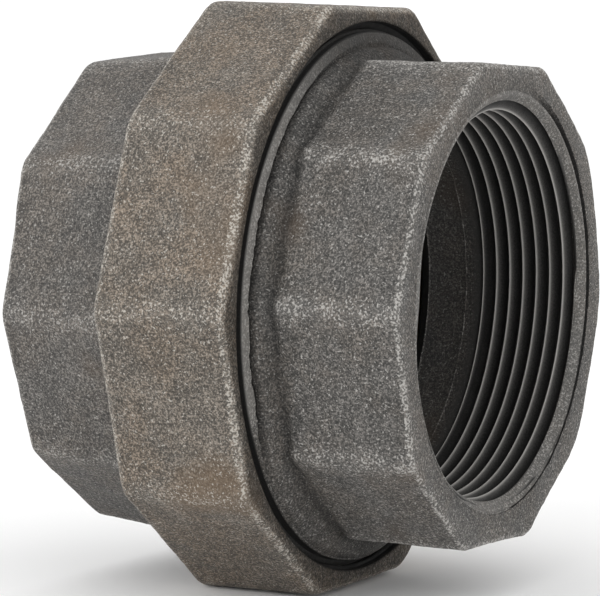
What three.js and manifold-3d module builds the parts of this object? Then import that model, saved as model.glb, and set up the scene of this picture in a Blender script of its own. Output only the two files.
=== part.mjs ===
// Ground-joint pipe union with two 3 inch NPT female ends, in millimetres.
//
// Four loose pieces, as the real fitting comes apart on a bench:
//   head_piece  carries the male coupling thread and the pocket for the seat
//   seat_ring   bronze ring pressed into the head, with the conical seat
//   tail_piece  carries the rounded nose and the shoulder that the nut pulls on
//   union_nut   ten-sided nut, threaded at one end and lipped at the other
//
// Part frame: +X along the pipe axis towards the head, +Z up, origin on the axis at mid-length.
// Each piece is drawn with its axis along local +Z, and the outer group lays that axis along +X.

import * as THREE from 'three';
import { mergeVertices } from 'three/addons/utils/BufferGeometryUtils.js';
import Module from 'manifold-3d';

const wasm = await Module();
wasm.setup();

// ---------------------------------------------------------------- driving dimensions

const LENGTH = 92.4; // end face to end face with the joint made up
const END = LENGTH / 2;
const GAP = 0.3; // clearance between pieces that bear on each other
const SIDES = 10; // flats round the nut and round both bodies
const FACETS = 36; // facets round every turned surface and every turn of thread
const PITCH = 25.4 / 8; // both the pipe threads and the coupling thread have 8 per inch
const FLANK = Math.tan(THREE.MathUtils.degToRad(30)); // 60 degree thread form

// Pipe thread, 3 inch NPT. Depths are measured inwards from the end face.
const PIPE_PITCH_RADIUS = 42.43; // at the end face
const PIPE_THREAD_HEIGHT = 0.8 * PITCH;
const PIPE_TAPER = 1 / 32; // radius lost per millimetre of depth
const PIPE_THREAD_END = 26;
const PIPE_THREAD_FADE = 4; // the tap's lead leaves the last threads shallow
const PIPE_CREST_FLAT = 0.12;
const MOUTH_RADIUS = 44.3; // 45 degree mouth chamfer, at the end face
const BORE_RADIUS = 41;
const BORE_START = 28;

// Bodies
const HEAD_CIRCUMRADIUS = 53;
const HEAD_TURN = -1.7; // degrees that the body stands turned about the axis
const TAIL_CIRCUMRADIUS = 52.8; // at the end face
const TAIL_ROOT_CIRCUMRADIUS = 55.1; // next to the nut
const TAIL_TURN = -4.1; // in its own frame, which is turned end for end
const BODY_CORNER = 7; // rounding of the edges between flats
const BODY_BEVEL = 1.4; // rounding of the edge round an end face

// Nut
const NUT_CIRCUMRADIUS = 65.6;
const NUT_FRONT = 14.1;
const NUT_BACK = -16;
const NUT_CORNER = 9;
const NUT_BEVEL = 2.2;
const NUT_MOUTH = 59.6; // countersink at the front face
const LIP_HOLE = 55.6;
const LIP_FACE = -9.7; // inner face of the lip, which pulls on the tail's shoulder
const NUT_CHAMBER = 59;
const NUT_THREAD_START = -3.8;

// Coupling thread
const MALE_MAJOR = 58.3;
const MALE_ROOT = 56.9;
const MALE_FLAT = 0.78; // crest and root flats
const FEMALE_MINOR = 57.2;
const FEMALE_ROOT = 58.7;
const FEMALE_FLAT = 0.92; // at the root of the nut's groove
const HEAD_FREE_END = -4;
const THREAD_LEAD = 1.2; // chamfer at the free end of the male thread
const MALE_THREAD_END = 11; // where the crests start to fall away to the collar

// Collar behind the male thread, and the hollow that runs from it into the body
const COLLAR_RADIUS = 56.4;
const COLLAR_END = 14.7;
const COLLAR_FILLET = 5.2;

// Pocket and seat
const BORE_END = 8.5;
const RELIEF_RADIUS = 44.5;
const POCKET_FLOOR = 5.5;
const POCKET_RADIUS = 48.8;
const POCKET_CHAMFER = 0.6;
const SEAT_BORE = 43.5;
const SEAT_OUTER = 47.2; // largest radius of the conical seat

// Tail's shoulder and nose
const NECK_RADIUS = 55;
const NECK_END = 17.3; // measured towards the tail's own pipe end
const SHOULDER_RADIUS = 57;
const SHOULDER_FACE = -4.4;
const SHOULDER_CHAMFER = 0.5;
const NOSE_SPHERE = 60;
const CONTACT_RADIUS = 45; // where the nose's sphere touches the seat's cone
const CONTACT_AT = -0.5;
const NOSE_TIP_RADIUS = 42.4;

// ---------------------------------------------------------------- solids

// A closed three.js geometry as a manifold solid with its faces pointing out.
function solid(geometry) {
  const bare = geometry.clone();
  bare.deleteAttribute('normal');
  bare.deleteAttribute('uv');
  const merged = mergeVertices(bare, 1e-4);
  const position = merged.getAttribute('position');
  const index = merged.getIndex().array;
  const corners = [new THREE.Vector3(), new THREE.Vector3(), new THREE.Vector3()];
  const triangles = [];
  let volume = 0;
  for (let i = 0; i < index.length; i += 3) {
    const [a, b, c] = index.slice(i, i + 3);
    if (a === b || b === c || c === a) continue;
    [a, b, c].forEach((vertex, k) => corners[k].fromBufferAttribute(position, vertex));
    volume += corners[0].dot(corners[1].clone().cross(corners[2]));
    triangles.push([a, b, c]);
  }
  if (volume < 0) triangles.forEach((triangle) => triangle.reverse());
  const mesh = new wasm.Mesh({
    numProp: 3,
    vertProperties: new Float32Array(position.array),
    triVerts: new Uint32Array(triangles.flat()),
  });
  return new wasm.Manifold(mesh);
}

// Turns a profile of [radius, height] points round the axis.
function turned(profile) {
  const points = profile.map(([radius, height]) => new THREE.Vector2(radius, height));
  const geometry = new THREE.LatheGeometry(points, FACETS);
  geometry.rotateX(Math.PI / 2);
  return geometry;
}

// Points of an arc in the [radius, height] plane, with angles in degrees from the radius direction.
function arc(centreRadius, centreHeight, radius, from, to, steps) {
  const points = [];
  for (let i = 0; i <= steps; i += 1) {
    const angle = THREE.MathUtils.degToRad(from + ((to - from) * i) / steps);
    points.push([centreRadius + radius * Math.cos(angle), centreHeight + radius * Math.sin(angle)]);
  }
  return points;
}

// Ten-sided outline with rounded corners. At turn 0 a corner points along part +Y.
function tenSided(circumradius, corner, turn) {
  const half = Math.PI / SIDES;
  const reach = circumradius - corner / Math.cos(half);
  const shape = new THREE.Shape();
  for (let i = 0; i < SIDES; i += 1) {
    const angle = Math.PI / 2 + THREE.MathUtils.degToRad(turn) + 2 * half * i;
    shape.absarc(reach * Math.cos(angle), reach * Math.sin(angle), corner, angle - half, angle + half);
  }
  return shape;
}

// Ten-sided prism between two heights, its end edges rounded.
function prism(shape, bottom, top, bevel) {
  const geometry = new THREE.ExtrudeGeometry(shape, {
    depth: top - bottom - 2 * bevel,
    bevelThickness: bevel,
    bevelSize: bevel,
    bevelOffset: -bevel,
    bevelSegments: 2,
    curveSegments: 1,
  });
  geometry.translate(0, 0, bottom + bevel);
  return geometry;
}

// Scales a geometry's cross-section linearly, from 1 at one height to factor at another.
function flared(geometry, bottom, top, factor) {
  const position = geometry.getAttribute('position');
  for (let i = 0; i < position.count; i += 1) {
    const scale = 1 + ((factor - 1) * (position.getZ(i) - bottom)) / (top - bottom);
    position.setXY(i, position.getX(i) * scale, position.getY(i) * scale);
  }
  return geometry;
}

// A rod with a right-hand thread. thread(height) gives one pitch of the thread's profile there, as
// [radius, rise] rows with rise running upwards from -PITCH / 2. The groove passes angle 0 at phase.
function threadedRod(from, to, phase, thread) {
  const first = Math.floor(((from - phase) / PITCH) * FACETS);
  const steps = Math.ceil(((to - phase) / PITCH) * FACETS) - first;
  const rows = thread(from).length;
  const at = (step, row) => step * rows + row;
  const vertices = [];
  for (let step = 0; step <= steps; step += 1) {
    const angle = (2 * Math.PI * (first + step)) / FACETS;
    const height = phase + (PITCH * (first + step)) / FACETS;
    for (const [radius, rise] of thread(height)) {
      vertices.push(radius * Math.cos(angle), radius * Math.sin(angle), height + rise);
    }
  }
  const triangles = [];
  const quad = (a, b, c, d) => triangles.push(a, b, c, a, c, d);
  for (let step = 0; step < steps; step += 1) {
    for (let row = 0; row < rows - 1; row += 1) {
      quad(at(step, row), at(step + 1, row), at(step + 1, row + 1), at(step, row + 1));
    }
  }
  // The top row of each turn meets the bottom row of the turn above.
  const turn = FACETS;
  for (let step = 0; step < steps - turn; step += 1) {
    const [low, high] = [at(step, rows - 1), at(step + turn, 0)];
    quad(low, low + rows, high + rows, high);
  }
  // Each end is a fan from the axis to one turn of the helix and the step that closes it.
  const bottom = [];
  for (let step = turn; step > 0; step -= 1) bottom.push(at(step, 0));
  for (let row = 0; row < rows; row += 1) bottom.push(at(0, row));
  const top = [];
  for (let step = steps - turn; step < steps; step += 1) top.push(at(step, rows - 1));
  for (let row = rows - 1; row >= 0; row -= 1) top.push(at(steps, row));
  for (const [ring, height] of [[bottom, from], [top, to]]) {
    const centre = vertices.length / 3;
    vertices.push(0, 0, height);
    ring.forEach((vertex, i) => triangles.push(centre, vertex, ring[(i + 1) % ring.length]));
  }
  const geometry = new THREE.BufferGeometry();
  geometry.setAttribute('position', new THREE.Float32BufferAttribute(vertices, 3));
  geometry.setIndex(triangles);
  return geometry;
}

// One pitch of a 60 degree thread. The groove in the middle has a flat of the given width at
// groove radius and opens to the ridge radius. An internal thread's groove radius is the larger.
function threadRows(groove, ridge, flat) {
  const narrow = flat / 2;
  const wide = narrow + Math.abs(ridge - groove) * FLANK;
  return [[ridge, -wide], [groove, -narrow], [groove, narrow], [ridge, wide]];
}

// ---------------------------------------------------------------- pipe socket

const pipeCrest = (depth) => PIPE_PITCH_RADIUS - PIPE_THREAD_HEIGHT / 2 - depth * PIPE_TAPER;

// The chamfered mouth and the tapered thread, cut from a body whose pipe end is at height END.
function socketCutter() {
  const chamferDepth = (MOUTH_RADIUS - pipeCrest(0)) / (1 - PIPE_TAPER);
  const mouth = turned([
    [0, END + 1],
    [MOUTH_RADIUS + 1, END + 1],
    [pipeCrest(chamferDepth) - 1, END - chamferDepth - 1],
    [0, END - chamferDepth - 1],
  ]);
  const thread = threadedRod(END - BORE_START - 1, END + 2, 0, (height) => {
    const depth = END - height;
    const crest = pipeCrest(depth);
    const fade = THREE.MathUtils.clamp((PIPE_THREAD_END - depth) / PIPE_THREAD_FADE, 0, 1);
    return threadRows(crest + PIPE_THREAD_HEIGHT * fade, crest, PIPE_CREST_FLAT);
  });
  return solid(mouth).add(solid(thread));
}

// The plain hollow below the thread, down to the profile points given.
function hollowCutter(lowerPoints) {
  return solid(turned([
    [0, END - PIPE_THREAD_END],
    [pipeCrest(PIPE_THREAD_END) - 0.2, END - PIPE_THREAD_END],
    [BORE_RADIUS, END - BORE_START],
    ...lowerPoints,
  ]));
}

// ---------------------------------------------------------------- pieces

const apothem = (circumradius) => circumradius * Math.cos(Math.PI / SIDES);

function headPiece() {
  const outline = tenSided(HEAD_CIRCUMRADIUS, BODY_CORNER, HEAD_TURN);
  const body = prism(outline, COLLAR_END - 3, END, BODY_BEVEL);
  const underFlats = apothem(HEAD_CIRCUMRADIUS) - 0.4;
  const filletTop = COLLAR_END + COLLAR_FILLET;
  const collar = turned([
    [0, HEAD_FREE_END],
    [COLLAR_RADIUS, HEAD_FREE_END],
    [COLLAR_RADIUS, COLLAR_END],
    ...arc(underFlats + COLLAR_FILLET, filletTop, COLLAR_FILLET, 270, 180, 5),
    [0, filletTop],
  ]);
  // The thread is trimmed by a blank that stands 1 mm clear of its crests and has 45 degree ends.
  const blankRadius = MALE_MAJOR + 1;
  const blankEnd = MALE_THREAD_END + MALE_MAJOR - COLLAR_RADIUS;
  const blank = turned([
    [0, HEAD_FREE_END],
    [MALE_MAJOR - THREAD_LEAD, HEAD_FREE_END],
    [blankRadius, HEAD_FREE_END + THREAD_LEAD + 1],
    [blankRadius, MALE_THREAD_END - 1],
    [COLLAR_RADIUS - 1, blankEnd + 1],
    [0, blankEnd + 1],
  ]);
  const hollow = hollowCutter([
    [BORE_RADIUS, BORE_END],
    [RELIEF_RADIUS, BORE_END],
    [RELIEF_RADIUS, POCKET_FLOOR],
    [POCKET_RADIUS, POCKET_FLOOR],
    [POCKET_RADIUS, HEAD_FREE_END + POCKET_CHAMFER],
    [POCKET_RADIUS + POCKET_CHAMFER + 1, HEAD_FREE_END - 1],
    [0, HEAD_FREE_END - 1],
  ]);
  const male = threadRows(MALE_ROOT, MALE_MAJOR, MALE_FLAT);
  const thread = threadedRod(HEAD_FREE_END - 2, MALE_THREAD_END + 4, 0, () => male);
  return solid(thread)
    .intersect(solid(blank))
    .add(solid(collar))
    .add(solid(body))
    .subtract(hollow)
    .subtract(socketCutter());
}

// The seat's cone is tangent to the nose's sphere at the contact radius, moved off it by the gap.
const contactAngle = Math.asin(CONTACT_RADIUS / NOSE_SPHERE);
const noseCentre = CONTACT_AT - NOSE_SPHERE * Math.cos(contactAngle);

function seatHeight(radius) {
  const coneRadius = CONTACT_RADIUS + GAP * Math.sin(contactAngle);
  const coneHeight = CONTACT_AT + GAP * Math.cos(contactAngle);
  return coneHeight - (radius - coneRadius) * Math.tan(contactAngle);
}

function seatRing() {
  return solid(turned([
    [SEAT_BORE, seatHeight(SEAT_BORE)],
    [SEAT_BORE, POCKET_FLOOR - GAP],
    [POCKET_RADIUS - GAP, POCKET_FLOOR - GAP],
    [POCKET_RADIUS - GAP, seatHeight(SEAT_OUTER)],
    [SEAT_OUTER, seatHeight(SEAT_OUTER)],
    [SEAT_BORE, seatHeight(SEAT_BORE)],
  ]));
}

// Drawn with its own pipe end upwards, so its heights are the part's heights with the sign turned.
function tailPiece() {
  const outline = tenSided(TAIL_CIRCUMRADIUS, BODY_CORNER, TAIL_TURN);
  const flare = TAIL_ROOT_CIRCUMRADIUS / TAIL_CIRCUMRADIUS;
  const body = flared(prism(outline, NECK_END, END, BODY_BEVEL), END, NECK_END, flare);
  const shoulderBack = -LIP_FACE - GAP;
  const shoulderFront = -SHOULDER_FACE;
  const noseRoot = THREE.MathUtils.radToDeg(Math.asin((SHOULDER_FACE - noseCentre) / NOSE_SPHERE));
  const noseTip = THREE.MathUtils.radToDeg(Math.acos(NOSE_TIP_RADIUS / NOSE_SPHERE));
  const nose = arc(0, -noseCentre, NOSE_SPHERE, -noseTip, -noseRoot, 6);
  const neck = turned([
    [0, nose[0][1]],
    ...nose,
    [SHOULDER_RADIUS - SHOULDER_CHAMFER, shoulderFront],
    [SHOULDER_RADIUS, shoulderFront + SHOULDER_CHAMFER],
    [SHOULDER_RADIUS, shoulderBack - SHOULDER_CHAMFER],
    [SHOULDER_RADIUS - SHOULDER_CHAMFER, shoulderBack],
    [NECK_RADIUS, shoulderBack],
    [NECK_RADIUS, NECK_END],
    [apothem(TAIL_ROOT_CIRCUMRADIUS) - 0.4, NECK_END + 3],
    [0, NECK_END + 3],
  ]);
  const hollow = hollowCutter([
    [BORE_RADIUS, nose[0][1] - 1],
    [0, nose[0][1] - 1],
  ]);
  return solid(body)
    .add(solid(neck))
    .subtract(hollow)
    .subtract(socketCutter());
}

function unionNut() {
  const outline = tenSided(NUT_CIRCUMRADIUS, NUT_CORNER, 0);
  const body = prism(outline, NUT_BACK, NUT_FRONT, NUT_BEVEL);
  const bore = turned([
    [0, NUT_BACK - 1],
    [LIP_HOLE, NUT_BACK - 1],
    [LIP_HOLE, LIP_FACE],
    [NUT_CHAMBER, LIP_FACE],
    [NUT_CHAMBER, NUT_THREAD_START],
    [FEMALE_MINOR - 1, NUT_THREAD_START],
    [FEMALE_MINOR - 1, NUT_FRONT - (NUT_MOUTH - FEMALE_MINOR + 1)],
    [NUT_MOUTH + 1, NUT_FRONT + 1],
    [0, NUT_FRONT + 1],
  ]);
  const female = threadRows(FEMALE_ROOT, FEMALE_MINOR, FEMALE_FLAT);
  const thread = threadedRod(NUT_THREAD_START - 2, NUT_FRONT + 3, PITCH / 2, () => female);
  return solid(body).subtract(solid(bore)).subtract(solid(thread));
}

// ---------------------------------------------------------------- materials

const BLACK_IRON = { roughness: 0.8, metalness: 0.35 };
const headIron = new THREE.MeshStandardMaterial({ color: 0x4b4a49, ...BLACK_IRON });
const tailIron = new THREE.MeshStandardMaterial({ color: 0x4f4c49, ...BLACK_IRON });
const nutIron = new THREE.MeshStandardMaterial({ color: 0x554d47, ...BLACK_IRON });
const bronze = new THREE.MeshStandardMaterial({ color: 0xa8803c, roughness: 0.35, metalness: 1 });

// ---------------------------------------------------------------- assembly

function piece(name, body, material) {
  const { vertProperties, triVerts } = body.getMesh();
  const geometry = new THREE.BufferGeometry();
  geometry.setAttribute('position', new THREE.Float32BufferAttribute(vertProperties, 3));
  geometry.setIndex(Array.from(triVerts));
  const faceted = geometry.toNonIndexed();
  faceted.computeVertexNormals();
  const mesh = new THREE.Mesh(faceted, material);
  mesh.name = name;
  return mesh;
}

const head = new THREE.Group();
head.add(piece('head_piece', headPiece(), headIron));
head.add(piece('seat_ring', seatRing(), bronze));

const tail = new THREE.Group();
tail.add(piece('tail_piece', tailPiece(), tailIron));
tail.rotation.x = Math.PI;

const nut = new THREE.Group();
nut.add(piece('union_nut', unionNut(), nutIron));

const group = new THREE.Group();
group.add(head, tail, nut);
group.rotation.y = Math.PI / 2;

export default group;
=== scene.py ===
"""Looks of the pipe union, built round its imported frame.

Lengths are in millimetres until a mesh is made, and angles round the pipe axis are measured from
+Y towards +Z. Each iron piece is one closed grid: rows along its profile, columns round the axis.
"""

import math

import bpy
import numpy as np
from mathutils import Matrix, Vector


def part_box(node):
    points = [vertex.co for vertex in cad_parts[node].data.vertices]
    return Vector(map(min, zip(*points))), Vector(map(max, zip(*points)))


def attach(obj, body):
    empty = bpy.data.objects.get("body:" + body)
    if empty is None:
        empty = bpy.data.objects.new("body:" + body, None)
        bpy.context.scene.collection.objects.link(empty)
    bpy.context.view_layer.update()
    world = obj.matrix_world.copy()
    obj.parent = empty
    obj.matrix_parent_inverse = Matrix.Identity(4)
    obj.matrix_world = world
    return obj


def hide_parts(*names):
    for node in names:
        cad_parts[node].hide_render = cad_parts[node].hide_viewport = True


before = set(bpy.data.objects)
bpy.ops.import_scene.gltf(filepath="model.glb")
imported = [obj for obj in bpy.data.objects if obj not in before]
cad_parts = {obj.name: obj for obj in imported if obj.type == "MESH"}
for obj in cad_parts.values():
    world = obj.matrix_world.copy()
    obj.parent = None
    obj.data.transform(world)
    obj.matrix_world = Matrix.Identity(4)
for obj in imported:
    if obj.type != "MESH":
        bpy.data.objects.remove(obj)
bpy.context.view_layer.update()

MM = 0.001

# ------------------------------------------------------------------ camera

CAMERA_AZIMUTH = math.radians(27.55)
CAMERA_ELEVATION = math.radians(4.98)
CAMERA_ROLL = math.radians(1.14)
CAMERA_DISTANCE = 667.4 * MM
CAMERA_OFFSET = (-2.5 * MM, -1.1 * MM)  # right and up of the frame's origin
CAMERA_LENS = 184.5
SENSOR_WIDTH = 36


def add_camera():
    """The camera as solved from the photo's outlines, aimed near the frame's origin."""
    right = Vector((math.cos(CAMERA_AZIMUTH), math.sin(CAMERA_AZIMUTH), 0))
    level = Vector((math.sin(CAMERA_AZIMUTH), -math.cos(CAMERA_AZIMUTH), 0))
    back = level * math.cos(CAMERA_ELEVATION) + Vector((0, 0, math.sin(CAMERA_ELEVATION)))
    up = back.cross(right)
    roll = Matrix.Rotation(CAMERA_ROLL, 3, back)
    right, up = roll @ right, roll @ up
    place = right * CAMERA_OFFSET[0] + up * CAMERA_OFFSET[1] + back * CAMERA_DISTANCE
    data = bpy.data.cameras.new("camera")
    data.lens = CAMERA_LENS
    data.sensor_width = SENSOR_WIDTH
    data.clip_start = 0.01
    data.clip_end = 100
    camera = bpy.data.objects.new("camera", data)
    camera.matrix_world = Matrix.Translation(place) @ Matrix((right, up, back)).transposed().to_4x4()
    bpy.context.scene.collection.objects.link(camera)
    bpy.context.scene.camera = camera


add_camera()
# The default view transform leaves this dark iron flat and pale.
bpy.context.scene.view_settings.view_transform = "Standard"

# ------------------------------------------------------------------ dimensions

# Places along the pipe axis are measured from mid-length, towards the head.
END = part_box("head_piece")[1].x / MM
FREE_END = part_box("head_piece")[0].x / MM
NUT_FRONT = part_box("union_nut")[1].x / MM
NUT_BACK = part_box("union_nut")[0].x / MM
RING_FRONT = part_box("seat_ring")[1].x / MM
RING_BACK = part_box("seat_ring")[0].x / MM
RING_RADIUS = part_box("seat_ring")[1].z / MM
MALE_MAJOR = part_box("head_piece")[1].z / MM
NOSE_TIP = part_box("tail_piece")[1].x / MM

SIDES = 10
PITCH = 25.4 / 8
FLANK = math.tan(math.radians(30))
SHARP_ANGLE = math.radians(38)

# Ten-sided outlines: radius over the corners, and degrees that each stands turned.
HEAD_CIRCUMRADIUS = 53
HEAD_TURN = -1.7
SOFT_CORNER = 18  # how much rounder the head's corners are on its +Y side
SOFT_REACH = 1.2  # and how much further out they are set
TAIL_CIRCUMRADIUS = 52.6
TAIL_ROOT_CIRCUMRADIUS = 55.1  # next to the nut
TAIL_TURN = -4.1
BODY_CORNER = 5.5
BODY_EDGE = 1.3
NUT_CIRCUMRADIUS = 65.6
NUT_CORNER = 7.5
NUT_EDGE = 2.2

# Sockets. Depths are measured in from the end face.
PIPE_ROOT = 43.7  # at the end face
PIPE_CREST = 41.16  # at the end face
PIPE_TAPER = 1 / 32
PIPE_THREAD_END = 25.5
PIPE_FADE = 4
PIPE_PHASE = 0.12 * PITCH  # where the ridge passes angle 0
MOUTH_RADIUS = 44
MOUTH_DEPTH = 0.15
GROOVE_DEPTH = 1.5
CHAMFER_END = 3.2
BORE_STEP = 27.5
BORE_RADIUS = 41

# The coupling thread, on the head and in the nut.
MALE_ROOT = 56.9
MALE_FLAT = 0.78
MALE_THREAD_END = 11
THREAD_LEAD = 1.2
FEMALE_MINOR = 57.2
FEMALE_ROOT = 58.7
FEMALE_FLAT = 0.92
NUT_MOUTH = 58.85
NUT_THREAD_END = 12.6
NUT_CHAMBER = 59
NUT_THREAD_START = -3.8
LIP_HOLE = 55.6
LIP_FACE = -9.7

# The head's collar, and the pocket that holds the seat.
COLLAR_RADIUS = 56.85
COLLAR_FACE = 13.85
BORE_END = 8.5
RELIEF_RADIUS = 44.5
POCKET_FLOOR = 5.5
POCKET_RADIUS = 48.8

# The tail's neck, shoulder and spherical nose.
NECK_RADIUS = 55
NECK_END = 17.3
SHOULDER_RADIUS = 57
SHOULDER_FACE = 4.4
SHOULDER_BACK = 9.4
NOSE_SPHERE = 60
NOSE_CENTRE = 40.19
NOSE_TIP_RADIUS = 42.4

# The seat's cone, which meets the nose at 45 mm from the axis.
SEAT_BORE = 43.5
SEAT_OUTER = 47.2
SEAT_SLOPE = math.tan(math.asin(45 / NOSE_SPHERE))

# ------------------------------------------------------------------ noise


def hashed(x, y, z, seed):
    """A fixed pseudo-random number in -1..1 for each whole-numbered point."""
    h = (x * 374761393 + y * 668265263 + z * 974634777 + seed * 1442695041) & 0xFFFFFFFF
    h = ((h ^ (h >> 13)) * 1274126177) & 0xFFFFFFFF
    return ((h ^ (h >> 16)) & 0xFFFF) / 32767.5 - 1


def noise(points, size, seed):
    """Smooth noise in -1..1 with features about size millimetres apart."""
    scaled = points / size + 0.37 * seed
    cell = np.floor(scaled).astype(np.int64)
    part = scaled - cell
    part = part * part * part * (part * (part * 6 - 15) + 10)
    total = np.zeros(points.shape[:-1])
    for corner in np.ndindex(2, 2, 2):
        weight = np.ones(points.shape[:-1])
        for axis in range(3):
            weight = weight * (part[..., axis] if corner[axis] else 1 - part[..., axis])
        total += weight * hashed(*(cell[..., axis] + corner[axis] for axis in range(3)), seed)
    return total


def cast_relief(points, seed):
    """Height of a sand-cast skin: slow waves from the mould, lumps, and the sand's own grain."""
    return (
        0.20 * noise(points, 17, seed)
        + 0.10 * noise(points, 6.5, seed + 1)
        + 0.055 * noise(points, 2.6, seed + 2)
        + 0.05 * noise(points, 1.25, seed + 3)
    )


def smooth_step(value, low, high):
    """0 up to low, 1 from high on, and smooth between them."""
    t = np.clip((value - low) / (high - low), 0, 1)
    return t * t * (3 - 2 * t)


def smooth_max(a, b, width):
    """The larger of two radii, blended over about width where they cross."""
    return (a + b + np.sqrt((a - b) ** 2 + width ** 2)) / 2


def degrees_from(degrees, centre):
    """How far each direction lies from a centre direction, either way round."""
    return np.abs((degrees - centre + 180) % 360 - 180)


def unit_circle(angle):
    """Points round a unit circle, from which noise is sampled so that it joins up."""
    return np.stack([np.cos(angle), np.sin(angle), np.zeros_like(angle)], -1)


# ------------------------------------------------------------------ profiles


class Profile:
    """Rows of a closed surface of nearly round section. Each row holds, for every column, the place
    along the axis, the radius, how rough-cast the skin is, how much it is lightened for rubbed wear
    and painted highlight, and how much it is darkened with painted shade, each from 0 to 1."""

    def __init__(self, columns):
        self.angle = 2 * np.pi * np.arange(columns) / columns
        self.rows = []

    def add(self, x, radius, cast=0.0, worn=0.0, painted_shade=0.0):
        """One row at this place."""
        self.rows.append([np.broadcast_to(v, self.angle.shape).astype(float)
                          for v in (x, radius, cast, worn, painted_shade)])

    def line(self, x, radius, count, cast=0.0, worn=0.0, painted_shade=0.0):
        """Rows from the last one to this place, evenly spaced, ending on it."""
        last = self.rows[-1]
        self.add(x, radius, cast, worn, painted_shade)
        new = self.rows.pop()
        for step in range(1, count + 1):
            t = step / count
            self.rows.append([a * (1 - t) + b * t for a, b in zip(last, new)])

    def grid(self):
        """Points of every row and column, and the three finish values at each."""
        x, radius, *finish = np.array(self.rows).transpose(1, 0, 2)
        points = np.stack([x, radius * np.cos(self.angle), radius * np.sin(self.angle)], -1)
        return points, finish


def ten_sided(angle, circumradius, corner, turn):
    """Radius of a ten-sided outline with rounded corners. At turn 0 a corner is at angle 0."""
    half = math.pi / SIDES
    off = np.abs((angle - math.radians(turn) + half) % (2 * half) - half)
    reach = circumradius - corner / math.cos(half)
    tangent = np.arctan2(corner * math.sin(half), reach + corner * math.cos(half))
    flat = circumradius * math.cos(half) / np.cos(half - off)
    inside = np.maximum(corner ** 2 - (reach * np.sin(off)) ** 2, 0)
    return np.where(off > tangent, flat, reach * np.cos(off) + np.sqrt(inside))


def ridge(angle, turn, circumradius, width):
    """1 on the corners of a ten-sided outline, falling to 0 over width millimetres."""
    half = math.pi / SIDES
    off = np.abs((angle - math.radians(turn) + half) % (2 * half) - half)
    return np.exp(-((off * circumradius / width) ** 2))


def outward(points):
    """Unit normals of a closed grid, pointing out of the solid."""
    along = np.roll(points, -1, 0) - np.roll(points, 1, 0)
    around = np.roll(points, -1, 1) - np.roll(points, 1, 1)
    normal = np.cross(around, along)
    normal /= np.maximum(np.linalg.norm(normal, axis=-1, keepdims=True), 1e-9)
    return normal


def grid_surface(profile, relief_seed):
    """Vertices, faces and finish of a profile's grid, with the cast skin raised on it."""
    points, finish = profile.grid()
    lift = finish[0] * cast_relief(points, relief_seed)
    points = points + outward(points) * lift[..., None]
    rows, columns = lift.shape
    index = np.arange(rows * columns).reshape(rows, columns)
    above = np.roll(index, -1, 0)
    beside = np.roll(index, -1, 1)
    both = np.roll(above, -1, 1)
    faces = np.stack([index, beside, both, above], -1).reshape(-1, 4)
    return points.reshape(-1, 3), faces, [values.ravel() for values in finish]


def helical_rib(start, end, phase, section, steps_per_turn=144):
    """A closed rib wound as a right-hand helix towards +X. section(x) gives its corners at each x
    as [radius, rise, cast, worn, grime], and x is an array."""
    first = math.ceil((start - phase) / PITCH * steps_per_turn)
    last = math.floor((end - phase) / PITCH * steps_per_turn)
    step = np.arange(first, last + 1)
    angle = 2 * np.pi * step / steps_per_turn
    x = phase + PITCH * step / steps_per_turn
    radius, rise, *finish = (
        np.stack([np.broadcast_to(value, x.shape) for value in values], -1).astype(float)
        for values in zip(*section(x))
    )
    points = np.stack([
        x[:, None] + rise,
        radius * np.cos(angle)[:, None],
        radius * np.sin(angle)[:, None],
    ], -1)
    rows, columns = radius.shape
    index = np.arange(rows * columns).reshape(rows, columns)
    beside = np.roll(index, -1, 1)
    sides = np.stack([index[:-1], beside[:-1], beside[1:], index[1:]], -1).reshape(-1, 4)
    caps = [list(index[0][::-1]), list(index[-1])]
    return points.reshape(-1, 3), sides, caps, [values.ravel() for values in finish]


def build(name, surface, ribs, body, node, material, turned=False):
    """Makes one mesh object of a grid surface and its thread ribs, in place of a CAD node."""
    points, faces, finish = surface
    faces = faces.tolist()
    for rib_points, sides, caps, rib_finish in ribs:
        base = len(points)
        points = np.concatenate([points, rib_points])
        finish = [np.concatenate(pair) for pair in zip(finish, rib_finish)]
        faces += (sides + base).tolist()
        faces += [[vertex + base for vertex in cap] for cap in caps]
    if turned:
        points = points * (-1, -1, 1)
    mesh = bpy.data.meshes.new(name)
    mesh.from_pydata((points * MM).tolist(), [], faces)
    for label, values in zip(("cast", "worn", "painted_shade"), finish):
        attribute = mesh.attributes.new(label, "FLOAT", "POINT")
        attribute.data.foreach_set("value", np.clip(values, 0, 1).astype(np.float32))
    mesh.shade_smooth()
    mesh.set_sharp_from_angle(angle=SHARP_ANGLE)
    mesh.materials.append(material)
    piece = bpy.data.objects.new(name, mesh)
    bpy.context.scene.collection.objects.link(piece)
    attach(piece, body)
    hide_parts(node)
    return piece


def through(points, t):
    """A smooth curve through points, at t from 0 to 1."""
    place = t * (len(points) - 1)
    first = min(int(place), len(points) - 2)
    t = place - first
    a, b, c, d = (points[min(max(first + k, 0), len(points) - 1)] for k in (-1, 0, 1, 2))
    return b + 0.5 * t * (c - a + t * (2 * a - 5 * b + 4 * c - d + t * (3 * b - a - 3 * c + d)))


def ease_off(t, sharpness):
    """1 at t = 0 with a level start, falling to 0 at t = 1 with a level end."""
    t = np.clip(t, 0, 1)
    return (1 - t) ** sharpness * (1 + sharpness * t)


# ------------------------------------------------------------------ threads


def flank_corners(crest, root, crest_half, embed, steps):
    """Half of a ridge's section from crest to past its root, as [radius, half-width] pairs."""
    beyond = root + math.copysign(embed, root - crest)
    corners = []
    for step in range(steps + 1):
        radius = crest + (beyond - crest) * step / steps
        corners.append((radius, crest_half + abs(radius - crest) * FLANK))
    return corners


def mouth_edge(angle):
    """Radius of a socket's mouth, which was chamfered a little off centre."""
    return MOUTH_RADIUS - 0.15 + 0.4 * np.sin(angle) - 0.2 * np.cos(angle)


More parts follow.
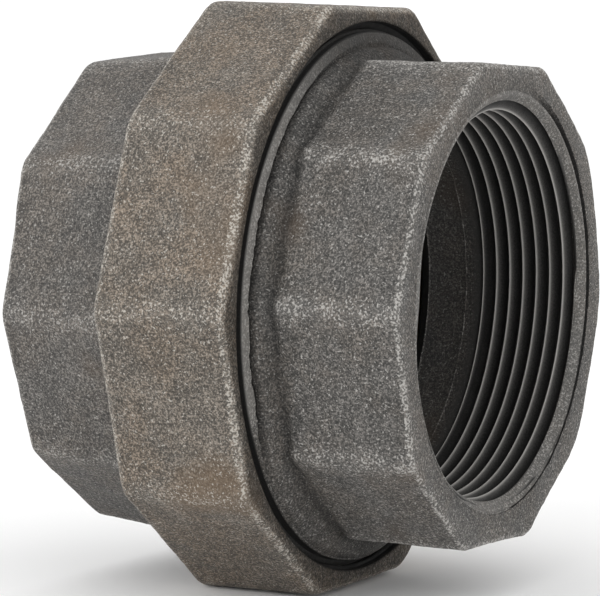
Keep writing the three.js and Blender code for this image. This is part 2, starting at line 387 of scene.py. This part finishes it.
def pipe_ridge(x):
    """Section of the pipe thread's ridge inside a socket, trimmed by the mouth's chamfer."""
    depth = END - x
    crest = PIPE_CREST - depth * PIPE_TAPER
    fade = np.clip((PIPE_THREAD_END - depth) / PIPE_FADE, 0, 1)
    height = (PIPE_ROOT - PIPE_CREST) * fade
    top = crest + 0.06 * (1 - fade)
    corners = []
    # share runs from just past the root, 1.06, to the crest, 0, which is the part that is rubbed and
    # lightened as a painted highlight line; towards the root the valley is darkened with painted
    # shade.
    for share, worn in ((1.06, 0), (0.8, 0), (0.5, 0), (0.2, 0.2), (0.06, 0.9), (0, 1)):
        half = 0.05 + height * share * FLANK
        corners.append((top + height * share, half, worn, min(1.02 * share ** 0.4, 1)))
    section = [(r, -half, worn, painted_shade) for r, half, worn, painted_shade in corners]
    section += [(r, half, worn, painted_shade) for r, half, worn, painted_shade in reversed(corners)]
    edge = np.maximum(mouth_edge((x - PIPE_PHASE) / PITCH * 2 * np.pi), PIPE_ROOT)
    mouth_place = END - MOUTH_DEPTH
    trimmed = []
    for radius, rise, worn, painted_shade in section:
        place = np.minimum(x + rise, mouth_place)
        mouth = edge - (mouth_place - place)
        cut = radius < mouth
        radius = np.where(x + rise > mouth_place, edge + 0.3, np.maximum(radius, mouth))
        trimmed.append((radius, place - x, 0.25 * cut, np.where(cut, 0.45, worn),
                        np.where(cut, 0.15, painted_shade)))
    return trimmed


def male_ridge(x):
    """Section of the head's coupling thread, trimmed by its lead chamfer and its run-out."""
    half = flank_corners(MALE_MAJOR, MALE_ROOT, MALE_FLAT / 2, 0.1, 3)
    section = [(r, w, 0.0) for r, w in reversed(half)] + [(r, -w, 0.0) for r, w in half]
    trimmed = []
    for radius, rise, worn in section:
        place = np.clip(x + rise, FREE_END + 0.1, MALE_THREAD_END + 2.2)
        limit = np.minimum(
            MALE_MAJOR - THREAD_LEAD + (place - FREE_END),
            MALE_MAJOR - (place - MALE_THREAD_END),
        )
        outside = place != x + rise
        radius = np.where(outside, MALE_ROOT - 0.2, np.minimum(radius, limit))
        crest = radius > MALE_MAJOR - 0.05
        # The thread sits inside the nut and is darkened with painted shade, less on its crest, which
        # is also lightened.
        trimmed.append((radius, place - x, 0, worn + 0.5 * crest, 0.6 - 0.3 * crest))
    return trimmed


def female_ridge(x):
    """Section of the nut's thread, opened out towards its mouth."""
    crest_half = (PITCH - FEMALE_FLAT) / 2 - (FEMALE_ROOT - FEMALE_MINOR) * FLANK
    half = flank_corners(FEMALE_MINOR, FEMALE_ROOT, crest_half, 0.1, 3)
    section = [(r, -w, 0.0) for r, w in reversed(half)] + [(r, w, 0.0) for r, w in half]
    trimmed = []
    for radius, rise, worn in section:
        place = np.clip(x + rise, NUT_THREAD_START + 0.1, NUT_THREAD_END)
        limit = FEMALE_ROOT + (place - NUT_THREAD_END)
        outside = place != x + rise
        radius = np.where(outside, FEMALE_ROOT + 0.3, np.maximum(radius, limit))
        crest = radius < FEMALE_MINOR + 0.05
        # The thread is darkened with painted shade, a little less on its crest, which is also
        # lightened.
        trimmed.append((radius, place - x, 0, worn + 0.5 * crest, 0.9 - 0.3 * crest))
    return trimmed


# ------------------------------------------------------------------ pieces


def add_socket(p, outline, bore_end, bore_cast_rows, lip=0.0):
    """From an end face's outer edge, in across the face and down the tapped socket to the bore's
    end. The body is drawn at the thread's root, and the ridge is added to it as a rib. lip is how
    far the mouth's edge stands out from its circle."""
    steps = 6
    for step in range(1, steps + 1):
        turn = math.pi / 2 * step / steps
        p.add(
            END - BODY_EDGE * (1 - math.sin(turn)),
            outline - BODY_EDGE * (1 - math.cos(turn)),
            cast=1,
            worn=max(math.sin(2 * turn), 0) ** 0.5 if step < steps else 0.2,
        )
    around = unit_circle(p.angle)
    ragged = 0.16 * noise(around * 44, 2.2, 71) + 0.12 * noise(around * 44, 0.9, 72)
    # A ragged groove round the mouth, deep from the bottom round to the upper far side and
    # almost gone elsewhere. Where it is deep it is darkened with painted shade.
    degrees = np.degrees(p.angle)
    from_right = degrees_from(degrees, 0)
    above = degrees < 180
    strength = 0.08 + 0.92 * (1 - smooth_step(from_right, 48, np.where(above, 84, 100)))
    mouth = np.maximum(mouth_edge(p.angle), PIPE_ROOT) + lip
    rim = mouth_edge(p.angle) + 0.65 + 0.35 * np.sin(p.angle)
    width = np.where(above, 1.3, 1.3 - 0.85 * smooth_step(from_right, 0, 60))
    crease_shade = 0.1 + 0.9 * strength
    groove_place = END - 0.1 - GROOVE_DEPTH * strength
    mouth_place = END - MOUTH_DEPTH
    p.line(END, rim + width + 0.4 + ragged, 9, cast=1, painted_shade=0.15)
    p.line(END - 0.05, rim + width + 0.1 + ragged, 2, cast=0.6, painted_shade=0.1)
    p.line(END - 0.1 - 0.05 * strength, rim + width + ragged, 1, cast=0.4, painted_shade=crease_shade)
    p.line(groove_place, rim + 0.45 * width + ragged, 2, cast=0.3, painted_shade=crease_shade)
    p.line(groove_place, rim - 0.05 + ragged / 2, 2, cast=0.3, painted_shade=crease_shade)
    p.line(END - 0.12, np.maximum(rim - 0.35, mouth), 1, cast=0.25, worn=0.4, painted_shade=0.1)
    p.line(mouth_place, mouth + 0.03, 1, cast=0.25, worn=0.45, painted_shade=0.15)
    # The chamfer, which closes the thread's first valley round the lower far side.
    closed = 1 - smooth_step(degrees_from(degrees, -50), 50, 75)
    depth = np.maximum(mouth - PIPE_ROOT, 1.9 * closed) + 0.05
    p.line(mouth_place - depth, mouth + 0.03 - depth, 3, cast=0.25, worn=0.45, painted_shade=0.15)
    # Down the socket the root, thread and bore are darkened with painted shade.
    p.line(END - CHAMFER_END, PIPE_ROOT - CHAMFER_END * PIPE_TAPER, 3, cast=0.25, painted_shade=0.85)
    fade_start = PIPE_THREAD_END - PIPE_FADE
    p.line(END - fade_start, PIPE_ROOT - fade_start * PIPE_TAPER, 8, painted_shade=0.97)
    crest = PIPE_CREST - PIPE_THREAD_END * PIPE_TAPER
    p.line(END - PIPE_THREAD_END, crest, 4, cast=0.2, painted_shade=0.8)
    # A ragged painted highlight line, where the thread's run-out meets the cast bore.
    p.line(END - BORE_STEP, crest - 0.04 + ragged * 0.5, 2, cast=0.4, painted_shade=0.7)
    bright = noise(around * 41, 2.0, 73) > -0.1
    p.line(END - 27.8, crest - 0.1 + ragged * 0.6, 1, cast=0.3, worn=bright, painted_shade=0.2)
    p.line(END - 28.1, BORE_RADIUS - 0.15 + ragged, 1, cast=0.8, painted_shade=0.6)
    p.line(END - 29.2, BORE_RADIUS, 2, cast=1, painted_shade=0.65)
    p.line(bore_end + 0.8, BORE_RADIUS, bore_cast_rows, cast=1, painted_shade=0.68)


def head_piece(material):
    """The body nearer the camera: male coupling thread, collar, ten flats, socket and pocket."""
    p = Profile(460)
    # The corners on the +Y side of the casting are much rounder than the rest.
    degrees = np.degrees(p.angle)
    soft = 1 - smooth_step(degrees_from(degrees, 0), 44, 76)
    outline = ten_sided(p.angle, HEAD_CIRCUMRADIUS + SOFT_REACH * soft,
                        BODY_CORNER + SOFT_CORNER * soft, HEAD_TURN)
    # The pocket, the coupling thread and the collar's neck, which lie inside the nut, are darkened
    # with painted shade.
    p.add(FREE_END + 0.6, POCKET_RADIUS, painted_shade=0.4)
    p.line(FREE_END, POCKET_RADIUS + 0.6, 1, worn=0.4)
    p.line(FREE_END, MALE_ROOT - 0.25, 3, painted_shade=0.2)
    p.line(FREE_END + 0.25, MALE_ROOT, 1, worn=0.3, painted_shade=0.3)
    p.line(MALE_THREAD_END + 1.4, MALE_ROOT, 5, painted_shade=0.7)
    p.line(MALE_THREAD_END + 1.9, COLLAR_RADIUS, 1, painted_shade=0.9)
    p.line(COLLAR_FACE - 0.35, COLLAR_RADIUS, 2, painted_shade=1)

    # The turned face of the collar runs out on the underside, where the cast shoulder reaches
    # the rim instead. Its inner edge is a ragged step, almost level near the top, and the
    # shoulder inside it falls to the flats through a hollow. The face is painted lighter except on
    # its top, and darker with painted shade on its top and underside; the step is darkened with
    # painted shade.
    under = smooth_step(degrees, 200, 218) * (1 - smooth_step(degrees, 335, 352))
    turned = 1 - under
    top = np.where(degrees > 98, np.exp(-((degrees - 98) / 26) ** 2), smooth_step(degrees, 4, 40))
    around = unit_circle(p.angle)
    ragged = 0.42 * noise(around * 54, 3.0, 81) + 0.40 * noise(around * 54, 1.1, 82)
    ragged = ragged * (0.25 + 0.75 * smooth_step(degrees, 135, 175)) * turned
    step = turned * (1 - 0.95 * top)
    rim = COLLAR_RADIUS - 0.3
    inner = 54.5 + (rim - 0.3 - 54.5) * under + ragged
    face = COLLAR_FACE + 0.18 * (rim - inner)
    # Painted highlight: the face is lightened away from its top, and painted shade darkens its top
    # and underside.
    bright = turned * (1 - 0.8 * top)
    face_shade = 0.3 * under + 0.62 * top
    p.line(COLLAR_FACE, rim, 2, cast=0.2 + 0.6 * under, worn=0.6 * bright, painted_shade=face_shade)
    p.line(face, inner, 4, cast=0.24 + 0.76 * under, worn=0.65 * bright + 0.4 * under, painted_shade=face_shade)
    crease_shade = face_shade + step * (1 - face_shade)
    p.line(face - 1.1 * step, inner - 0.12, 1, cast=0.3, painted_shade=crease_shade)
    p.line(face - 1.1 * step, inner - 0.9 * turned, 2, cast=0.5, painted_shade=crease_shade)
    # Along the axis and out from it, from the step's foot down to the flats.
    shoulder = [
        (face - 1.1 * step, inner - 0.9 * turned),
        (15.0 + 0.1 * under, 53.5 + 2.0 * under),
        (15.9 + 0.1 * under, 53.05 + 1.4 * under),
        (16.7 + 0.2 * under, 52.4 + 0.8 * under),
        (17.4 + 0.3 * under, 51.5 + 0.5 * under),
        (18.1 + 0.4 * under, 50.7 + 0.3 * under),
        (19.0 + 0.4 * under, 50.15),
        (20.4 + 0.3 * under, 49.7),
        (21.6, 49.2),
    ]
    ridges = 0.75 * ridge(p.angle, HEAD_TURN, HEAD_CIRCUMRADIUS, 2.5)
    hollow_place = 18.3 - 0.9 * ridges
    rows = 26
    for row in range(1, rows + 1):
        x, radius = (through([point[k] for point in shoulder], row / rows) for k in (0, 1))
        # Painted shade darkens the hollow, the top of the shoulder and the foot of the step; a
        # painted highlight lightens the convex bump except at the top, and the corners are rubbed
        # lighter.
        hollow = np.exp(-(((x - hollow_place) / 1.2) ** 2))
        shaded = 0.34 * (1 - smooth_step(x, 18.5, 20.5))
        painted_shade = np.maximum(crease_shade * max(0, 1 - row / 7), np.maximum(0.66 * hollow, shaded))
        painted_shade = np.maximum(painted_shade, 0.68 * top * (1 - smooth_step(x, 17.5, 19.5)))
        worn = np.maximum(0.3 * np.exp(-(((x - 15.8) / 0.7) ** 2)) * (1 - top),
                          ridges * smooth_step(x, 18, 20))
        p.add(x, smooth_max(radius, outline - 0.6 * hollow, 0.3), cast=1, worn=worn, painted_shade=painted_shade)
    p.line(END - BODY_EDGE, outline, 38, cast=1, worn=ridges)

    # On the near side a lip narrows the mouth.
    lip = -1.3 * np.exp(-((degrees - 175) / 11) ** 2)
    add_socket(p, outline, BORE_END, 14, lip)
    # The bore's end edge is lightened, and the relief and the pocket behind it are darkened with
    # painted shade.
    p.line(BORE_END + 0.2, BORE_RADIUS + 0.15, 1, cast=0.6, worn=0.5)
    p.line(BORE_END, BORE_RADIUS + 0.6, 1, cast=0.4, worn=0.3, painted_shade=0.5)
    p.line(BORE_END, RELIEF_RADIUS, 3, painted_shade=1)
    p.line(POCKET_FLOOR, RELIEF_RADIUS, 2, painted_shade=1)
    p.line(POCKET_FLOOR, POCKET_RADIUS, 2, painted_shade=1)
    p.line(FREE_END + 0.9, POCKET_RADIUS, 4, painted_shade=0.6)

    pipe = helical_rib(END - PIPE_THREAD_END, END + 1.7, PIPE_PHASE, pipe_ridge)
    male = helical_rib(FREE_END - 1.3, MALE_THREAD_END + 2.6, 0.75 * PITCH, male_ridge)
    return build("head_piece_cast", grid_surface(p, 11), [pipe, male],
                 "head", "head_piece", material)


def tail_piece(material):
    """Drawn with its pipe end towards +X, and turned end for end when it is built."""
    p = Profile(480)
    tip = -NOSE_TIP
    sphere = lambda x: np.sqrt(NOSE_SPHERE ** 2 - (NOSE_CENTRE - x) ** 2)
    p.add(tip, BORE_RADIUS + 0.2, worn=0.3)
    p.line(tip, NOSE_TIP_RADIUS - 0.2, 1, worn=0.5)
    for row in range(11):
        x = tip + 0.15 + (SHOULDER_FACE - 0.3 - tip) * row / 10
        p.add(x, sphere(x), worn=0.1)
    p.line(SHOULDER_FACE, sphere(SHOULDER_FACE) + 0.4, 1)
    p.line(SHOULDER_FACE, SHOULDER_RADIUS - 0.5, 4)
    p.line(SHOULDER_FACE + 0.5, SHOULDER_RADIUS, 1, worn=0.7)
    p.line(SHOULDER_BACK - 0.5, SHOULDER_RADIUS, 3)
    p.line(SHOULDER_BACK, SHOULDER_RADIUS - 0.5, 1, worn=0.7)
    p.line(SHOULDER_BACK, NECK_RADIUS + 0.2, 1)
    p.line(SHOULDER_BACK + 0.2, NECK_RADIUS, 1)
    p.line(NECK_END - 2.5, NECK_RADIUS, 5, cast=0.1)

    rows = 50
    for row in range(1, rows + 1):
        x = NECK_END - 2.5 + (END - BODY_EDGE - NECK_END + 2.5) * (row / rows) ** 1.1
        share = (x - NECK_END) / (END - NECK_END)
        size = TAIL_ROOT_CIRCUMRADIUS + (TAIL_CIRCUMRADIUS - TAIL_ROOT_CIRCUMRADIUS) * share
        outline = ten_sided(p.angle, size, BODY_CORNER, TAIL_TURN)
        fillet = 51.6 + (NECK_RADIUS - 51.6) * ease_off((x - NECK_END + 2.0) / 6.0, 2.5)
        fillet = fillet - 2.5 * max(share, 0)
        cast = float(smooth_step(x, NECK_END - 2, NECK_END + 0.5))
        worn = 0.6 * cast * ridge(p.angle, TAIL_TURN, size, 2.2)
        p.add(x, smooth_max(fillet, outline, 0.5), cast=cast, worn=worn)
    outline = ten_sided(p.angle, TAIL_CIRCUMRADIUS, BODY_CORNER, TAIL_TURN)
    add_socket(p, outline, tip, 26)
    p.line(tip + 0.2, BORE_RADIUS, 1, cast=0.4, worn=0.5)

    pipe = helical_rib(END - PIPE_THREAD_END, END + 1.7, PIPE_PHASE, pipe_ridge)
    return build("tail_piece_cast", grid_surface(p, 23), [pipe],
                 "tail", "tail_piece", material, turned=True)


def union_nut(material):
    """The ten-sided nut, from its back edge over the flats, then in through mouth and thread."""
    p = Profile(600)
    outline = lambda x: ten_sided(p.angle, NUT_CIRCUMRADIUS - 0.02 * x, NUT_CORNER, 0)
    ridges = 0.45 * ridge(p.angle, 0, NUT_CIRCUMRADIUS, 2.6)
    steps = 8
    back = NUT_BACK + NUT_EDGE
    for step in range(1, steps + 1):
        turn = math.pi / 2 * step / steps
        p.add(back - NUT_EDGE * math.cos(turn), outline(back) - NUT_EDGE * (1 - math.sin(turn)),
              cast=1, worn=np.maximum(0.8 * math.sin(2 * turn), ridges * math.sin(turn)))
    p.line(NUT_FRONT - NUT_EDGE, outline(NUT_FRONT), 38, cast=1, worn=ridges)
    # The front edge's rounding is lightened, partly as rubbed wear and partly as a painted
    # highlight, and the face inside it is darkened.
    for step in range(1, steps + 1):
        turn = math.pi / 2 * step / steps
        p.add(NUT_FRONT - NUT_EDGE * (1 - math.sin(turn)),
              outline(NUT_FRONT) - NUT_EDGE * (1 - math.cos(turn)),
              cast=1, worn=0.85 * max(math.sin(2.7 * turn), 0) ** 0.7 if step < 6 else 0,
              painted_shade=0.52 * smooth_step(turn, 0.8, 1.5))
    # From the mouth inwards the gap, the thread and the lip are darkened with painted shade.
    p.line(NUT_FRONT, NUT_MOUTH + 0.5, 3, cast=0.8, painted_shade=0.6)
    p.line(NUT_FRONT - 0.15, NUT_MOUTH + 0.15, 1, cast=0.5, painted_shade=0.85)
    p.line(NUT_FRONT - 0.5, NUT_MOUTH, 1, cast=0.3, painted_shade=0.95)
    p.line(NUT_THREAD_END + 0.2, NUT_MOUTH, 1, painted_shade=0.95)
    p.line(NUT_THREAD_END - 0.3, FEMALE_ROOT, 1, painted_shade=1)
    p.line(NUT_THREAD_START, FEMALE_ROOT, 6, painted_shade=0.9)
    p.line(NUT_THREAD_START - 0.3, NUT_CHAMBER, 1, painted_shade=0.8)
    p.line(LIP_FACE, NUT_CHAMBER, 3, painted_shade=0.7)
    p.line(LIP_FACE, LIP_HOLE, 3, painted_shade=0.4)
    p.line(NUT_BACK + 1.3, LIP_HOLE, 4, painted_shade=0.6)
    for step in range(1, 5):
        turn = math.pi / 2 * step / 4
        p.add(NUT_BACK + 1.3 * (1 - math.sin(turn)), LIP_HOLE + 1.3 * (1 - math.cos(turn)),
              cast=0.5, worn=0.4)
    p.line(NUT_BACK, outline(back) - NUT_EDGE - 0.4, 7, cast=0.9)

    female = helical_rib(NUT_THREAD_START - 1.3, NUT_FRONT + 1.2, 0.25 * PITCH, female_ridge)
    return build("union_nut_cast", grid_surface(p, 37), [female],
                 "nut", "union_nut", material)


def seat_ring(material):
    """The bronze ring, with the cone that the tail's nose seals on."""
    p = Profile(240)
    chamfer = 0.25
    low, high = RING_BACK, RING_BACK + (SEAT_OUTER - SEAT_BORE) * SEAT_SLOPE
    p.add(low, RING_RADIUS - chamfer)
    p.line(low + chamfer, RING_RADIUS, 1, worn=1)
    p.line(RING_FRONT - chamfer, RING_RADIUS, 4)
    p.line(RING_FRONT, RING_RADIUS - chamfer, 1, worn=1)
    p.line(RING_FRONT, SEAT_BORE + chamfer, 3)
    p.line(RING_FRONT - chamfer, SEAT_BORE, 1, worn=1)
    p.line(high + 0.1, SEAT_BORE, 3)
    p.line(high - 0.05, SEAT_BORE + 0.05, 1, worn=1)
    p.line(low + 0.1, SEAT_OUTER - 0.1, 8)
    p.line(low, SEAT_OUTER + 0.1, 1, worn=1)
    return build("seat_ring_turned", grid_surface(p, 51), [],
                 "head", "seat_ring", material)


# ------------------------------------------------------------------ materials


def link(tree, source, target):
    tree.links.new(source, target)


def add_node(tree, kind, **values):
    """A node with its properties and its unlinked inputs set. Inputs are named in_NAME."""
    node = tree.nodes.new(kind)
    for key, value in values.items():
        if key.startswith("in_"):
            node.inputs[key[3:].replace("_", " ")].default_value = value
        else:
            setattr(node, key, value)
    return node


def noise_value(tree, coordinates, scale, detail=2.0, roughness=0.5):
    """Noise from 0 to 1. scale is in features to the metre."""
    node = add_node(tree, "ShaderNodeTexNoise", in_Scale=scale, in_Detail=detail,
                    in_Roughness=roughness)
    link(tree, coordinates, node.inputs["Vector"])
    return node.outputs["Fac"]


def remap(tree, value, low, high, to_low=0.0, to_high=1.0):
    """value smoothly taken from low..high to to_low..to_high."""
    node = add_node(tree, "ShaderNodeMapRange", interpolation_type="SMOOTHSTEP",
                    in_From_Min=low, in_From_Max=high, in_To_Min=to_low, in_To_Max=to_high)
    link(tree, value, node.inputs["Value"])
    return node.outputs["Result"]


def compute(tree, operation, a, b=0.0, clamp=False):
    """One arithmetic step. Each input is a number or a socket."""
    node = add_node(tree, "ShaderNodeMath", operation=operation, use_clamp=clamp)
    for socket, value in zip(node.inputs, (a, b)):
        if isinstance(value, float):
            socket.default_value = value
        else:
            link(tree, value, socket)
    return node.outputs[0]


def blend_colour(tree, factor, a, b, blend_type="MIX"):
    """a where factor is 0, b where it is 1. Each is a colour or a socket."""
    node = add_node(tree, "ShaderNodeMix", data_type="RGBA", blend_type=blend_type)
    sockets = (node.inputs[0], node.inputs[6], node.inputs[7])
    for socket, value in zip(sockets, (factor, a, b)):
        if isinstance(value, (float, tuple)):
            socket.default_value = value
        else:
            link(tree, value, socket)
    return node.outputs[2]


def attribute(tree, name):
    """A finish value, such as worn, as the mesh carries it."""
    return add_node(tree, "ShaderNodeAttribute", attribute_name=name).outputs["Fac"]


def new_material(name):
    """An empty material with its tree, its shader and the object's own coordinates."""
    material = bpy.data.materials.new(name)
    material.use_nodes = True
    tree = material.node_tree
    tree.nodes.clear()
    output = tree.nodes.new("ShaderNodeOutputMaterial")
    shader = tree.nodes.new("ShaderNodeBsdfPrincipled")
    link(tree, shader.outputs[0], output.inputs[0])
    coordinates = tree.nodes.new("ShaderNodeTexCoord").outputs["Object"]
    return material, tree, shader, coordinates


# Near-black, which painted shade darkens the iron towards.
SHADE_BLACK = (0.004, 0.0038, 0.0037, 1.0)
CUT_IRON = (0.088, 0.085, 0.081, 1)


def black_iron(name, dark, light, bright, stain, stain_level, machined, warmth):
    """Sand-cast malleable iron: fine light and dark grain, slow mottling, warmer and cooler
    patches, a faint stain, edges rubbed lighter and painted highlights, painted shade darkening it
    towards near-black, and smoother greyer metal where a tool has cut."""
    material, tree, shader, at = new_material(name)
    cast = attribute(tree, "cast")
    worn = attribute(tree, "worn")
    painted_shade = attribute(tree, "painted_shade")
    fine = noise_value(tree, at, 2600, 1.0, 0.5)
    grain = noise_value(tree, at, 1250, 2.0, 0.65)
    specks = noise_value(tree, at, 2100, 1.0, 0.5)
    mottle = noise_value(tree, at, 260, 3.0, 0.6)
    cloud = noise_value(tree, at, 42, 2.0)
    patches = noise_value(tree, at, 75, 3.0, 0.6)

    tone = compute(tree, "MULTIPLY", remap(tree, fine, 0.34, 0.66), 0.5)
    for value, share in ((grain, 0.27), (mottle, 0.14), (cloud, 0.09)):
        level = compute(tree, "MULTIPLY", remap(tree, value, 0.34, 0.66), share)
        tone = compute(tree, "ADD", tone, level)
    ramp = tree.nodes.new("ShaderNodeValToRGB")
    colours = (dark, tuple(math.sqrt(a * b) for a, b in zip(dark, light)), light)
    ramp.color_ramp.elements.new(0.5)
    for element, place, colour in zip(ramp.color_ramp.elements, (0.1, 0.5, 0.9), colours):
        element.position = place
        element.color = colour
    link(tree, tone, ramp.inputs[0])
    tint = blend_colour(tree, remap(tree, patches, 0.38, 0.62),
                        (1 - warmth / 2, 1.0, 1 + warmth / 2, 1.0),
                        (1 + warmth, 1.0, 1 - warmth, 1.0))
    skin = blend_colour(tree, 1.0, ramp.outputs[0], tint, "MULTIPLY")
    skin = blend_colour(tree, compute(tree, "MULTIPLY", remap(tree, cloud, *stain_level), 0.6),
                        skin, stain)

    # Rubbed edges and painted highlights are lightened, in a soft band and in flecks.
    wear_and_highlight_specks = compute(tree, "MULTIPLY", worn, remap(tree, mottle, 0.36, 0.6, 0.08, 0.2))
    flecks = compute(tree, "ADD", specks, wear_and_highlight_specks)
    flecks = remap(tree, flecks, 0.595, 0.775)
    skin = blend_colour(tree, compute(tree, "MULTIPLY", worn, 0.08), skin, bright)
    skin = blend_colour(tree, compute(tree, "MULTIPLY", flecks, 0.76), skin, bright)

    cut = blend_colour(tree, remap(tree, fine, 0.35, 0.65), machined,
                       tuple(0.5 * c for c in machined[:3]) + (1.0,))
    # Cut metal is lightened where it is rubbed and where highlights are painted, as on the thread
    # crests and the bright line in the bore.
    cut = blend_colour(tree, compute(tree, "MULTIPLY", worn, 0.9), cut, bright)
    is_cast = remap(tree, cast, 0.05, 0.35)
    colour = blend_colour(tree, is_cast, cut, skin)
    # Painted shade: the colour goes towards near-black in the gaps, grooves, hollows, bores and
    # hidden threads, and on the collar's top.
    colour = blend_colour(tree, compute(tree, "MULTIPLY", painted_shade, 0.93), colour, SHADE_BLACK)
    link(tree, colour, shader.inputs["Base Color"])

    # Less metallic where painted shade lies.
    unshaded = compute(tree, "SUBTRACT", 1.0, painted_shade)
    metal = compute(tree, "MULTIPLY", compute(tree, "SUBTRACT", 1.0, is_cast), 0.35)
    metal = compute(tree, "ADD", metal, compute(tree, "MULTIPLY", flecks, 0.2), clamp=True)
    metal = compute(tree, "MULTIPLY", metal, unshaded)
    shader.inputs["Specular IOR Level"].default_value = 0.3
    link(tree, metal, shader.inputs["Metallic"])
    rough = remap(tree, mottle, 0.3, 0.7, 0.48, 0.62)
    rough = compute(tree, "ADD", rough, compute(tree, "MULTIPLY", is_cast, 0.08))
    rough = compute(tree, "ADD", rough, compute(tree, "MULTIPLY", painted_shade, 0.3), clamp=True)
    link(tree, rough, shader.inputs["Roughness"])

    relief = compute(tree, "ADD", compute(tree, "MULTIPLY", grain, 0.6),
                     compute(tree, "MULTIPLY", fine, 0.4))
    relief = compute(tree, "MULTIPLY", relief, compute(tree, "ADD", is_cast, 0.12))
    bump = add_node(tree, "ShaderNodeBump", in_Strength=1.0, in_Distance=0.0004)
    link(tree, relief, bump.inputs["Height"])
    link(tree, bump.outputs[0], shader.inputs["Normal"])
    return material


def turned_bronze():
    """Lathe-turned bronze, tarnished in patches and brighter on its edges."""
    material, tree, shader, at = new_material("seat_bronze")
    worn = attribute(tree, "worn")
    tarnish = noise_value(tree, at, 120, 4.0, 0.6)
    colour = blend_colour(tree, remap(tree, tarnish, 0.35, 0.7),
                          (0.58, 0.40, 0.17, 1.0), (0.40, 0.26, 0.11, 1.0))
    colour = blend_colour(tree, compute(tree, "MULTIPLY", worn, 0.5), colour,
                          (0.78, 0.60, 0.32, 1.0))
    link(tree, colour, shader.inputs["Base Color"])
    shader.inputs["Metallic"].default_value = 1.0
    link(tree, remap(tree, tarnish, 0.3, 0.7, 0.28, 0.42), shader.inputs["Roughness"])
    rings = add_node(tree, "ShaderNodeTexWave", wave_type="RINGS", rings_direction="X",
                     in_Scale=900.0, in_Distortion=0.6, in_Detail=1.0)
    link(tree, at, rings.inputs["Vector"])
    bump = add_node(tree, "ShaderNodeBump", in_Strength=0.25, in_Distance=0.00005)
    link(tree, rings.outputs["Fac"], bump.inputs["Height"])
    link(tree, bump.outputs[0], shader.inputs["Normal"])
    return material


head_iron = black_iron(
    "head_iron",
    dark=(0.029, 0.028, 0.026, 1),
    light=(0.196, 0.181, 0.166, 1),
    bright=(0.47, 0.455, 0.43, 1),
    stain=(0.078, 0.055, 0.036, 1),
    stain_level=(0.56, 0.74),
    machined=CUT_IRON,
    warmth=0.03,
)
tail_iron = black_iron(
    "tail_iron",
    dark=(0.032, 0.030, 0.028, 1),
    light=(0.204, 0.188, 0.170, 1),
    bright=(0.42, 0.405, 0.38, 1),
    stain=(0.086, 0.062, 0.043, 1),
    stain_level=(0.62, 0.8),
    machined=CUT_IRON,
    warmth=0.03,
)
nut_iron = black_iron(
    "nut_iron",
    dark=(0.040, 0.035, 0.029, 1),
    light=(0.264, 0.224, 0.184, 1),
    bright=(0.52, 0.49, 0.44, 1),
    stain=(0.130, 0.086, 0.050, 1),
    stain_level=(0.54, 0.76),
    machined=CUT_IRON,
    warmth=0.045,
)

head_piece(head_iron)
tail_piece(tail_iron)
union_nut(nut_iron)
seat_ring(turned_bronze())

# ------------------------------------------------------------------ stage

FLOOR_GAP = 0.6 * MM  # room for the cast skin's relief
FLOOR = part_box("union_nut")[0].z - FLOOR_GAP
FLOOR_SIDE = 30  # half its width, so that no edge is seen


def add_floor():
    """A plain pale floor just under the nut."""
    material, tree, shader, _ = new_material("floor_white")
    shader.inputs["Base Color"].default_value = (0.95, 0.95, 0.95, 1)
    shader.inputs["Roughness"].default_value = 0.9
    shader.inputs["Specular IOR Level"].default_value = 0.0
    mesh = bpy.data.meshes.new("floor")
    turns = ((-1, -1), (1, -1), (1, 1), (-1, 1))
    corners = [(x * FLOOR_SIDE, y * FLOOR_SIDE, FLOOR) for x, y in turns]
    mesh.from_pydata(corners, [], [(0, 1, 2, 3)])
    mesh.materials.append(material)
    floor = bpy.data.objects.new("floor", mesh)
    bpy.context.scene.collection.objects.link(floor)


def add_light(name, place, size, power):
    """A square lamp aimed at the frame's origin. power is in watts."""
    data = bpy.data.lights.new(name, "AREA")
    data.size = size
    data.energy = power
    light = bpy.data.objects.new(name, data)
    light.location = place
    light.rotation_euler = Vector(place).to_track_quat("Z", "Y").to_euler()
    bpy.context.scene.collection.objects.link(light)


def add_world(strength):
    """Even white light from all round."""
    world = bpy.data.worlds.new("studio")
    world.use_nodes = True
    background = world.node_tree.nodes["Background"]
    background.inputs[0].default_value = (1, 1, 1, 1)
    background.inputs[1].default_value = strength
    bpy.context.scene.world = world


add_floor()
add_world(1.1)
add_light("key", (-0.4, -1.2, 0.6), 0.8, 4)
add_light("fill", (1.2, -0.8, 0.5), 0.8, 1)
add_light("low", (0.0, -1.2, 0.1), 0.5, 1)
